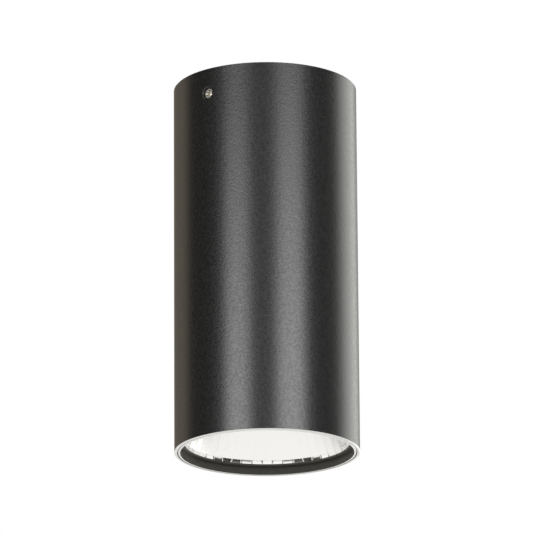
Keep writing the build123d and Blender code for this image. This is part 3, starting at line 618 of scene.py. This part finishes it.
# A shrunk sleeve is thin black film with a soft sheen.
sleeve = grained(
    "shrunk_black_sleeve", dark="#131316", light="#1f1f24", smooth=0.28, rough=0.4,
    grain=0.8 * MM, depth=0.01 * MM,
)
# Enamelled copper is a clear reddish brown, ribbed by its turns.
enamel = grained(
    "enamelled_copper", dark="#8a4620", light="#b9683a", smooth=0.18, rough=0.3,
    grain=0.4 * MM, depth=0.03 * MM, stretch=(1, 0.1, 1), Metallic=1.0,
)
dress(laminate, "driver_board")
dress(tape, "driver_transformer")
dress(sleeve, "driver_capacitors")
dress(enamel, "driver_choke")

# Terminal block: translucent white nylon with three poles, on the carrier's shelf.
# Each pole has two slotted brass screws, sunk in wells over the wire.
BLOCK_EDGE = 0.3 * MM
BRASS_RADIUS = 1.75 * MM
BRASS_PITCH = 0.6 * MM
BRASS_SUNK = 0.875 * MM
BRASS_THREAD = 0.1  # in screw radii, as is each size of its end and slot
BRASS_EDGE = 0.12
SLOT_LENGTH = 0.86
SLOT_WIDTH = 1 / 6
SLOT_DEPTH = 0.5
WIRE_HEIGHT = 5 * MM  # of a wire above the shelf
WIRE_RADIUS = 0.9 * MM
POLE_YS = (-7 * MM, 0, 7 * MM)
block_low, block_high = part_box("terminal_block")


def slot(length, width, height, sides):
    """A ring of points on a narrow rectangle, given by half its length and half its width."""
    ring = []
    for i in range(sides):
        angle = math.tau * (i + 0.5) / sides
        reach = min(length / abs(math.cos(angle)), width / abs(math.sin(angle)))
        ring.append(Vector((reach * math.cos(angle), reach * math.sin(angle), height)))
    return ring


def slotted_screw(radius, length, pitch):
    """A headless screw that runs up from the origin, with a slot in its top."""
    edge = BRASS_EDGE * radius
    rings = [circle(radius - 2 * edge, 0, SCREW_SIDES)]
    rings += thread(radius, BRASS_THREAD * radius, pitch, 2 * edge, length - 2 * edge, SCREW_SIDES)
    rings += [
        circle(radius, length - edge, SCREW_SIDES),
        circle(radius - edge, length, SCREW_SIDES),
        slot(SLOT_LENGTH * radius, SLOT_WIDTH * radius, length, SCREW_SIDES),
        slot(SLOT_LENGTH * radius, SLOT_WIDTH * radius, length - SLOT_DEPTH * radius, SCREW_SIDES),
    ]
    return skinned(rings, closed=False)


# Terminal nylon is left natural: a milky white that lets a little light in.
natural_nylon = grained(
    "natural_nylon", dark="#d4d3c8", light="#e4e3da", smooth=0.32, rough=0.46,
    grain=0.5 * MM, depth=0.005 * MM, Subsurface_Weight=0.25, Subsurface_Scale=1 * MM,
)
# Turned brass is a clear yellow, bright on its edges.
brass = grained(
    "turned_brass", dark="#b08d45", light="#d3b266", smooth=0.2, rough=0.36,
    grain=0.3 * MM, depth=0.004 * MM, Metallic=1.0,
)
block = softened("terminal_block", "terminal_block_moulding", BLOCK_EDGE, natural_nylon)
fit(block, "housing", "clear_white_terminal", "terminal_block")
brass_low = block_low.z + WIRE_HEIGHT + WIRE_RADIUS + SCREW_END_GAP
quarter = (block_high.x - block_low.x) / 4
seats = [(x, y, brass_low) for x in (block_low.x + quarter, block_high.x - quarter) for y in POLE_YS]
brass_shape = slotted_screw(BRASS_RADIUS, block_high.z - BRASS_SUNK - brass_low, BRASS_PITCH)
brass_screws = set_out("terminal_fixings", brass_shape, seats, TURNED_UP, brass)
fit(brass_screws, "housing", "brass_screw", "terminal_screws")

# Cable clamp: a saddle of moulded grey nylon on the carrier's shelf, beside the terminal block.
# Its two screws pull it down on the supply cable's sheath.
CLAMP_EDGE = 0.35 * MM
CLAMP_SHEET = 1.5 * MM
CLAMP_SCREW_Y = 8 * MM
clamp_low, clamp_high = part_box("cable_clamp")
# Grey nylon is a flat mid grey with the same spark texture as the white.
grey_nylon = grained(
    "moulded_grey_nylon", dark="#6d6e6f", light="#7f8081", smooth=0.42, rough=0.58,
    grain=0.4 * MM, depth=0.006 * MM,
)
clamp = softened("cable_clamp", "cable_saddle", CLAMP_EDGE, grey_nylon)
fit(clamp, "housing", "grey_nylon", "cable_clamp")
clamp_x = (clamp_low.x + clamp_high.x) / 2
seats = [(clamp_x, y, clamp_low.z + CLAMP_SHEET) for y in (-CLAMP_SCREW_Y, CLAMP_SCREW_Y)]
clamp_shape = pan_head_screw(M3_RADIUS, 2 * CLAMP_SHEET + CARRIER_SHEET, M3_PITCH)
clamp_screws = set_out("clamp_fixings", clamp_shape, seats, TURNED_DOWN, zinc)
fit(clamp_screws, "housing", "zinc_steel", "clamp_screws")

# Wires: stranded copper in coloured insulation, from the terminals to the power supply and the earth lug.
# Two more run from the power supply to the light source, and a crimped lug ends the earth wire.
WIRE_STRIPE = 1.8 * MM
WAVE_RATE = 20  # radians of a Wave texture in each unit of its scale
RING_LUG_SHEET = 0.8 * MM
RING_LUG_EDGE = 0.1 * MM
lug_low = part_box("earth_lug")[0]
# Insulation is a smooth satin plastic, with faint lines along the way that it was drawn.
for node, label, dark, light in (
    ("lead_live", "brown_insulation", "#4a2412", "#5c3018"),
    ("lead_neutral", "blue_insulation", "#1a4a9c", "#2860b8"),
    ("lead_led_plus", "red_insulation", "#a01414", "#b82020"),
    ("lead_led_minus", "black_insulation", "#151515", "#202020"),
):
    insulation = grained(label, dark, light, smooth=0.28, rough=0.4, grain=0.6 * MM, depth=0.004 * MM)
    dress(insulation, node)
# Earth insulation has green and yellow stripes of equal width.
earth_wire, tree, shader, place = begun("green_and_yellow_insulation", Roughness=0.34)
stripes = {"Vector": place, "Scale": math.pi / (WAVE_RATE * WIRE_STRIPE)}
stripes = add(tree, "ShaderNodeTexWave", stripes, bands_direction="X").outputs["Fac"]
stripes = add(tree, "ShaderNodeMath", {0: stripes, 1: 0.5}, operation="GREATER_THAN")
tones = {0: stripes, MIX_A: linear("#1f7a2e"), MIX_B: linear("#d8c81e")}
colour = add(tree, "ShaderNodeMix", tones, data_type="RGBA").outputs[MIX_COLOUR]
tree.links.new(colour, shader.inputs["Base Color"])
dress(earth_wire, "lead_earth")
# Tin on copper is a soft warm silver.
tin = grained(
    "tinned_copper", dark="#b3b0a8", light="#cfccc4", smooth=0.28, rough=0.44,
    grain=0.5 * MM, depth=0.006 * MM, Metallic=1.0,
)
lug = softened("earth_lug", "earth_ring_lug", RING_LUG_EDGE, tin)
fit(lug, "housing", "tinned_copper", "earth_lug")
lug_screw_low, lug_screw_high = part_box("earth_lug_screw")
lug_seat = lug_low.y + RING_LUG_SHEET
lug_z = (lug_screw_low.z + lug_screw_high.z) / 2
lug_shape = pan_head_screw(M3_RADIUS, RING_LUG_SHEET + CARRIER_SHEET + M3_RADIUS, M3_PITCH)
lug_screw = set_out("lug_fixing", lug_shape, [(-LUG_SCREW_X, lug_seat, lug_z)], TURNED_FORWARD, zinc)
fit(lug_screw, "housing", "zinc_steel", "earth_lug_screw")

# Reflector: spun aluminium, pressed into flat facets with fine creases between them, and bright anodised.
# Its flange sits on the bezel's ledge, and its throat stands just below the light source.
FACETS = 48
FACET_ROWS = 16
FACET_TURN = 1 / 3  # of a facet, by which the creases stand beside the axes
STRIPS = 12  # of mesh in a facet, of which the outer two make the creases
CREASE = 0.1 * MM
CREASE_SHARE = 0.49  # of a facet's width from its middle, where a crease begins
THROAT_RADIUS = 10.5 * MM
MOUTH_RADIUS = 35.5 * MM
REFLECTOR_WALL = 1.2 * MM
ROLLED_ROW = 1.6 * MM  # height of the steeper row at the mouth
THROAT_SLOPE = math.tan(math.radians(50))
FACET_SLOPE = math.tan(math.radians(27))
ROLLED_SLOPE = math.tan(math.radians(9.8))
SPIN_STEP = 0.5 * MM  # between the lines that the spinning tool leaves, coarser than on the real one
SOFT_MIRROR = 0.32  # roughness of the facets
SHARP_MIRROR = 0.05  # roughness of the rolled row
SHARPENING = 0.1 * MM  # height over which the one becomes the other
reflector_low, reflector_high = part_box("reflector")
rolled_radius = MOUTH_RADIUS - ROLLED_ROW * ROLLED_SLOPE
facet_depth = reflector_high.z - reflector_low.z - ROLLED_ROW
knee_depth = rolled_radius - THROAT_RADIUS - facet_depth * FACET_SLOPE
knee_depth /= THROAT_SLOPE - FACET_SLOPE
knee_radius = THROAT_RADIUS + knee_depth * THROAT_SLOPE

# The tree sweeps a profile round a circle as wide as the mouth, and then draws the circle in to facets.
# The profile's points are given by how far they lie outside that circle and how deep below the ceiling.
tree = bpy.data.node_groups.new("faceted_reflector", "GeometryNodeTree")
tree.is_modifier = True
for label, kind in (
    ("Facets", "Int"),
    ("Strips", "Int"),
    ("Rows", "Int"),
    ("Turn", "Float"),
    ("Radius", "Float"),
    ("Throat", "Vector"),
    ("Knee", "Vector"),
    ("Rolled", "Vector"),
    ("Mouth", "Vector"),
    ("Flange", "Vector"),
    ("Wall", "Float"),
    ("Crease", "Float"),
    ("Finish", "Material"),
):
    tree.interface.new_socket(label, in_out="INPUT", socket_type="NodeSocket" + kind)
tree.interface.new_socket("Reflector", in_out="OUTPUT", socket_type="NodeSocketGeometry")
given = add(tree, "NodeGroupInput").outputs
sides = add(tree, "ShaderNodeMath", {0: given["Facets"], 1: given["Strips"]}, operation="MULTIPLY")
path = add(tree, "GeometryNodeCurvePrimitiveCircle", {"Resolution": sides, "Radius": given["Radius"]})
outward = add(tree, "ShaderNodeCombineXYZ", {"X": given["Wall"]})
downward = add(tree, "ShaderNodeCombineXYZ", {"Y": given["Wall"]})
throat, knee, rolled = given["Throat"], given["Knee"], given["Rolled"]
mouth, rim = given["Mouth"], given["Flange"]
back_throat = add(tree, "ShaderNodeVectorMath", {0: throat, 1: outward}, operation="ADD")
back_knee = add(tree, "ShaderNodeVectorMath", {0: knee, 1: outward}, operation="ADD")
back_rim = add(tree, "ShaderNodeVectorMath", {0: rim, 1: downward}, operation="SUBTRACT")
neck = add(tree, "ShaderNodeVectorMath", {0: mouth, 1: outward}, operation="ADD")
neck = add(tree, "ShaderNodeVectorMath", {0: neck, 1: downward}, operation="SUBTRACT")
profile = add(tree, "GeometryNodeJoinGeometry")
for start, middle, end in ((throat, knee, rolled), (neck, back_knee, back_throat)):
    bend = {"Resolution": given["Rows"], "Start": start, "Middle": middle, "End": end}
    bend = add(tree, "GeometryNodeCurveQuadraticBezier", bend)
    tree.links.new(bend.outputs["Curve"], profile.inputs["Geometry"])
for start, end in ((rolled, mouth), (mouth, rim), (rim, back_rim), (back_rim, neck), (back_throat, throat)):
    run = add(tree, "GeometryNodeCurvePrimitiveLine", {"Start": start, "End": end})
    tree.links.new(run.outputs["Curve"], profile.inputs["Geometry"])
swept = add(tree, "GeometryNodeCurveToMesh", {"Curve": path, "Profile Curve": profile})
joined = add(tree, "GeometryNodeMergeByDistance", {"Geometry": swept, "Distance": MERGE_DISTANCE})

# A point's share of its facet runs from minus a half to a half, and its ends are the creases.
point = add(tree, "GeometryNodeInputPosition")
part = add(tree, "ShaderNodeSeparateXYZ", {0: point}).outputs
angle = add(tree, "ShaderNodeMath", {0: part["Y"], 1: part["X"]}, operation="ARCTAN2")
step = add(tree, "ShaderNodeMath", {0: math.tau, 1: given["Facets"]}, operation="DIVIDE")
share = add(tree, "ShaderNodeMath", {0: angle, 1: step}, operation="DIVIDE")
share = add(tree, "ShaderNodeMath", {0: share, 1: given["Turn"]}, operation="ADD")
share = add(tree, "ShaderNodeMath", {0: share}, operation="FRACT")
share = add(tree, "ShaderNodeMath", {0: share, 1: 0.5}, operation="SUBTRACT")
half_step = add(tree, "ShaderNodeMath", {0: step, 1: 0.5}, operation="MULTIPLY")
at_corner = add(tree, "ShaderNodeMath", {0: half_step}, operation="COSINE")
from_middle = add(tree, "ShaderNodeMath", {0: share, 1: step}, operation="MULTIPLY")
at_point = add(tree, "ShaderNodeMath", {0: from_middle}, operation="COSINE")
flat = add(tree, "ShaderNodeMath", {0: at_corner, 1: at_point}, operation="DIVIDE")
width = add(tree, "ShaderNodeMath", {0: share}, operation="ABSOLUTE")
creased = add(tree, "ShaderNodeMath", {0: width, 1: CREASE_SHARE}, operation="GREATER_THAN")
dent = add(tree, "ShaderNodeMath", {0: given["Crease"], 1: given["Radius"]}, operation="DIVIDE")
dent = add(tree, "ShaderNodeMath", {0: creased, 1: dent}, operation="MULTIPLY")
draw = add(tree, "ShaderNodeMath", {0: flat, 1: dent}, operation="SUBTRACT")
draw = add(tree, "ShaderNodeCombineXYZ", {"X": draw, "Y": draw, "Z": 1.0})
drawn_point = add(tree, "ShaderNodeVectorMath", {0: point, 1: draw}, operation="MULTIPLY")

# The flange's rim stays round.
reach = reach_from(tree, point, ACROSS_TUBE)
rim_width = add(tree, "ShaderNodeSeparateXYZ", {0: rim}).outputs["X"]
rim_reach = add(tree, "ShaderNodeMath", {0: given["Radius"], 1: rim_width}, operation="ADD")
from_rim = add(tree, "ShaderNodeMath", {0: rim_reach, 1: reach}, operation="SUBTRACT")
inside = add(tree, "ShaderNodeMath", {0: from_rim, 1: MERGE_DISTANCE}, operation="GREATER_THAN")
faceted = {"Geometry": joined, "Selection": inside, "Position": drawn_point}
faceted = add(tree, "GeometryNodeSetPosition", faceted)
real = add(tree, "GeometryNodeRealizeInstances", {"Geometry": faceted})
dressed = add(tree, "GeometryNodeSetMaterial", {"Geometry": real, "Material": given["Finish"]})
add(tree, "NodeGroupOutput", {"Reflector": dressed})
reflector_tree = tree

# Bright anodised aluminium is a soft, even mirror with faint spinning lines, and a sharp one in the
# rolled row at the mouth.
bright, tree, shader, place = begun("bright_anodised_aluminium", Metallic=1.0)
height = add(tree, "ShaderNodeSeparateXYZ", {0: place}).outputs["Z"]
lines = add(tree, "ShaderNodeTexNoise", {"W": height, "Scale": 1 / SPIN_STEP}, noise_dimensions="1D")
tones = {0: lines, MIX_A: linear("#faf9f6"), MIX_B: linear("#fffefb")}
colour = add(tree, "ShaderNodeMix", tones, data_type="RGBA").outputs[MIX_COLOUR]
row_top = reflector_low.z + ROLLED_ROW
ends = {"Value": height, "From Min": row_top - SHARPENING, "From Max": row_top}
ends.update({"To Min": SHARP_MIRROR, "To Max": SOFT_MIRROR})
roughness = add(tree, "ShaderNodeMapRange", ends).outputs["Result"]
tree.links.new(colour, shader.inputs["Base Color"])
tree.links.new(roughness, shader.inputs["Roughness"])
mirror = bpy.data.objects.new("faceted_mirror", bpy.data.meshes.new("faceted_mirror"))
bpy.context.scene.collection.objects.link(mirror)
made_by(
    reflector_tree,
    mirror,
    Facets=FACETS,
    Strips=STRIPS,
    Rows=FACET_ROWS - 1,
    Turn=FACET_TURN,
    Radius=MOUTH_RADIUS,
    Throat=(THROAT_RADIUS - MOUTH_RADIUS, -reflector_high.z, 0),
    Knee=(knee_radius - MOUTH_RADIUS, knee_depth - reflector_high.z, 0),
    Rolled=(rolled_radius - MOUTH_RADIUS, facet_depth - reflector_high.z, 0),
    Mouth=(0, -reflector_low.z, 0),
    Flange=(reflector_high.x - MOUTH_RADIUS, -reflector_low.z, 0),
    Wall=REFLECTOR_WALL,
    Crease=CREASE,
    Finish=bright,
)
shape = bmesh.new()
shape.from_mesh(mirror.data)
bmesh.ops.recalc_face_normals(shape, faces=shape.faces)
shape.to_mesh(mirror.data)
shape.free()
mirror.data.set_sharp_from_angle(angle=CORNER_ANGLE)
# Only the back is smooth, because the facets are flat.
for face in mirror.data.polygons:
    face.use_smooth = face.normal.xy.dot(face.center.xy) > 0
fit(mirror, "reflector", "bright_reflector", "reflector")

# Bezel: a turned aluminium ring, black anodised, that screws into the tube's mouth.
# Its ledge carries the reflector, and its end was faced bright after anodising.
BEZEL_SIDES = 192
BEZEL_PITCH = 1 * MM
BEZEL_THREAD = 0.35 * MM
BEZEL_CHAMFER = 0.4 * MM
BEZEL_EDGE = 0.08 * MM
FACED_DEPTH = 0.1 * MM  # of the end, which the facing tool took bright
BRIGHT_LEAN = -0.5  # normals that point further down than this are faced
LIP_RADIUS = 37.5 * MM
LEDGE_THICKNESS = 0.8 * MM
bezel_low, bezel_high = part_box("bezel_ring")
ledge_top = reflector_low.z
ledge_bottom = ledge_top - LEDGE_THICKNESS
bezel_face = bezel_high.x - BEZEL_CHAMFER
chamfer_top = bezel_low.z + BEZEL_CHAMFER
faced_top = bezel_low.z + FACED_DEPTH
# Black anodising is a deep satin black, a little brown, over fine turning lines.
anodised, tree, shader, place = begun("black_anodised_aluminium")
height = add(tree, "ShaderNodeSeparateXYZ", {0: place}).outputs["Z"]
lines = add(tree, "ShaderNodeTexNoise", {"W": height, "Scale": 1 / FACING_STEP}, noise_dimensions="1D")
surfaced(tree, shader, lines, dark="#43413a", light="#534f47", smooth=0.3, rough=0.42, depth=0.003 * MM)
outline = [
    (bezel_high.x - BEZEL_THREAD, bezel_high.z),
    (LIP_RADIUS, bezel_high.z),
    (LIP_RADIUS, ledge_top),
    (MOUTH_RADIUS, ledge_top),
    (MOUTH_RADIUS, ledge_bottom),
    (LIP_RADIUS, ledge_bottom),
    (LIP_RADIUS, bezel_low.z),
    (bezel_face, bezel_low.z),
    (bezel_face + FACED_DEPTH, faced_top),
]
rings = [circle(radius, level, BEZEL_SIDES) for radius, level in outline]
thread_top = bezel_high.z - BEZEL_EDGE
rings += thread(bezel_high.x, BEZEL_THREAD, BEZEL_PITCH, chamfer_top, thread_top, BEZEL_SIDES)
shape = skinned(rings, closed=True)
for face in shape.faces:
    at_end = face.calc_center_median().z < faced_top
    face.material_index = int(at_end and face.normal.z < BRIGHT_LEAN)
bezel = evened(piece_from("bezel", shape, anodised, faced))
fit(bezel, "bezel", "black_anodised", "bezel_ring")

# Camera: a long lens, to the left of the light and below it, as in the photograph.
# It stands level but for a slight roll, and aims a little off the tube's middle.
LENS = 379.4  # mm
AZIMUTH = math.radians(-51.2)
ELEVATION = math.radians(-16.665)
DISTANCE = 2.45
CLIP_END = 20
ROLL = math.radians(-0.362)
AIM_RIGHT = 0.62 * MM
AIM_UP = 1.22 * MM
ground = Vector((math.sin(AZIMUTH), -math.cos(AZIMUTH), 0))  # from the light towards the camera
back = ground * math.cos(ELEVATION) + Vector((0, 0, math.sin(ELEVATION)))
tube_middle = Vector((0, 0, (tube_low.z + tube_high.z) / 2))
eye = tube_middle + back * DISTANCE
aim = tube_middle + (-back).to_track_quat("-Z", "Y") @ Vector((AIM_RIGHT, AIM_UP, 0))
camera_data = bpy.data.cameras.new("camera")
camera_data.lens = LENS
camera_data.clip_end = CLIP_END
camera = bpy.data.objects.new("camera", camera_data)
look = (aim - eye).to_track_quat("-Z", "Y").to_matrix().to_4x4()
camera.matrix_world = Matrix.Translation(eye) @ look @ Matrix.Rotation(ROLL, 4, "Z")
bpy.context.scene.collection.objects.link(camera)
bpy.context.scene.camera = camera

# Studio: a white room with a pale floor a room's height below, two tall soft lamps beside the camera
# and one behind on the right. Cloths round the light, from dark to pale, give the tube its bands.
AMBIENT = 0.45  # strength of the room's light on the object, where white is 1
FLOOR_DROP = 2.7
FLOOR_HALF = 8.0
FLOOR_GLOW = 0.7
LAMP_DISTANCE = 1.0
CLOTH_DISTANCE = 1.4
CLOTH_LOW = -0.1
CLOTH_HIGH = 1.6
CLOTH_STEPS = 12
bpy.context.scene.view_settings.view_transform = "Standard"


def seen_or_not(tree):
    """One for rays from the camera, from gloss and through glass, and zero for the rest."""
    path = add(tree, "ShaderNodeLightPath").outputs
    seen = {0: path["Is Camera Ray"], 1: path["Is Glossy Ray"]}
    seen = {0: add(tree, "ShaderNodeMath", seen, operation="MAXIMUM"), 1: path["Is Transmission Ray"]}
    return add(tree, "ShaderNodeMath", seen, operation="MAXIMUM")


world = bpy.data.worlds.new("white_room")
bpy.context.scene.world = world
world.use_nodes = True
tree = world.node_tree
level = add(tree, "ShaderNodeMapRange", {"Value": seen_or_not(tree), "To Min": AMBIENT, "To Max": 1.0})
sky = tree.nodes["Background"]
sky.inputs["Color"].default_value = linear("#ffffff")
tree.links.new(level.outputs["Result"], sky.inputs["Strength"])

# Floor paint is a matt pale grey that takes the shadow, and shows white to the eye.
floor_paint, tree, shader, _ = begun("pale_floor_paint", Roughness=0.8)
shader.inputs["Base Color"].default_value = linear("#c8c8c8")
shader.inputs["Emission Color"].default_value = linear("#ffffff")
glow = add(tree, "ShaderNodeMath", {0: seen_or_not(tree), 1: FLOOR_GLOW}, operation="MULTIPLY")
tree.links.new(glow.outputs["Value"], shader.inputs["Emission Strength"])
corners = [(x * FLOOR_HALF, y * FLOOR_HALF, -FLOOR_DROP) for x, y in ((-1, -1), (1, -1), (1, 1), (-1, 1))]
floor_mesh = bpy.data.meshes.new("floor")
floor_mesh.from_pydata(corners, [], [(0, 1, 2, 3)])
floor_mesh.materials.append(floor_paint)
floor = bpy.data.objects.new("floor", floor_mesh)
bpy.context.scene.collection.objects.link(floor)


def beside(angle, distance, height):
    """A point at an angle to the right of the camera, seen from the light."""
    turn = Matrix.Rotation(math.radians(angle), 3, "Z")
    return turn @ ground * distance + Vector((0, 0, height))


def soft_lamp(name, angle, width, low, high, power, lean=0, colour="#ffffff"):
    """A tall soft lamp that faces the light, and leans to its side."""
    data = bpy.data.lights.new(name, "AREA")
    data.shape = "RECTANGLE"
    data.size = width
    data.size_y = high - low
    data.energy = power
    data.color = linear(colour)[:3]
    lamp = bpy.data.objects.new(name, data)
    place = beside(angle, LAMP_DISTANCE, (low + high) / 2)
    facing = Vector((-place.x, -place.y, 0)).to_track_quat("-Z", "Y").to_matrix().to_4x4()
    lamp.matrix_world = Matrix.Translation(place) @ facing @ Matrix.Rotation(math.radians(lean), 4, "Z")
    lamp.visible_camera = False
    bpy.context.scene.collection.objects.link(lamp)


# Studio cloth is matt and even, and each is as bright as the light that falls on it.
def cloth(name, start, end, strength, colour="#ffffff"):
    """A curved cloth round the light, between two angles, that shows only in gloss."""
    made, _, shader, _ = begun(name, Specular_IOR_Level=0.0, Emission_Strength=strength)
    shader.inputs["Base Color"].default_value = linear("#000000")
    shader.inputs["Emission Color"].default_value = linear(colour)
    points = []
    for i in range(CLOTH_STEPS + 1):
        angle = start + (end - start) * i / CLOTH_STEPS
        points += [beside(angle, CLOTH_DISTANCE, height) for height in (CLOTH_LOW, CLOTH_HIGH)]
    faces = [(2 * i, 2 * i + 2, 2 * i + 3, 2 * i + 1) for i in range(CLOTH_STEPS)]
    mesh = bpy.data.meshes.new(name)
    mesh.from_pydata(points, [], faces)
    mesh.materials.append(made)
    panel = bpy.data.objects.new(name, mesh)
    for ray in ("camera", "diffuse", "transmission", "volume_scatter", "shadow"):
        setattr(panel, "visible_" + ray, False)
    bpy.context.scene.collection.objects.link(panel)


soft_lamp("left_lamp", angle=-35.5, width=0.53, low=-0.14, high=0.24, power=5.4)
soft_lamp("right_lamp", angle=30, width=0.6, low=-0.14, high=0.26, power=6.9)
soft_lamp("rear_lamp", angle=130, width=0.75, low=-0.5, high=0.8, power=5.8, lean=15, colour="#fffff8")
cloth("left_dark_cloth", start=-112, end=-18, strength=0.02)
cloth("middle_cloth", start=-18, end=14, strength=0.36)
cloth("right_dark_cloth", start=14, end=100, strength=0.08)
cloth("left_side_cloth", start=-136, end=-112, strength=0.68, colour="#fff0d8")
cloth("left_rear_cloth", start=-180, end=-136, strength=0.36, colour="#fff0d8")
cloth("right_rear_cloth", start=146, end=180, strength=0.45, colour="#fffff8")
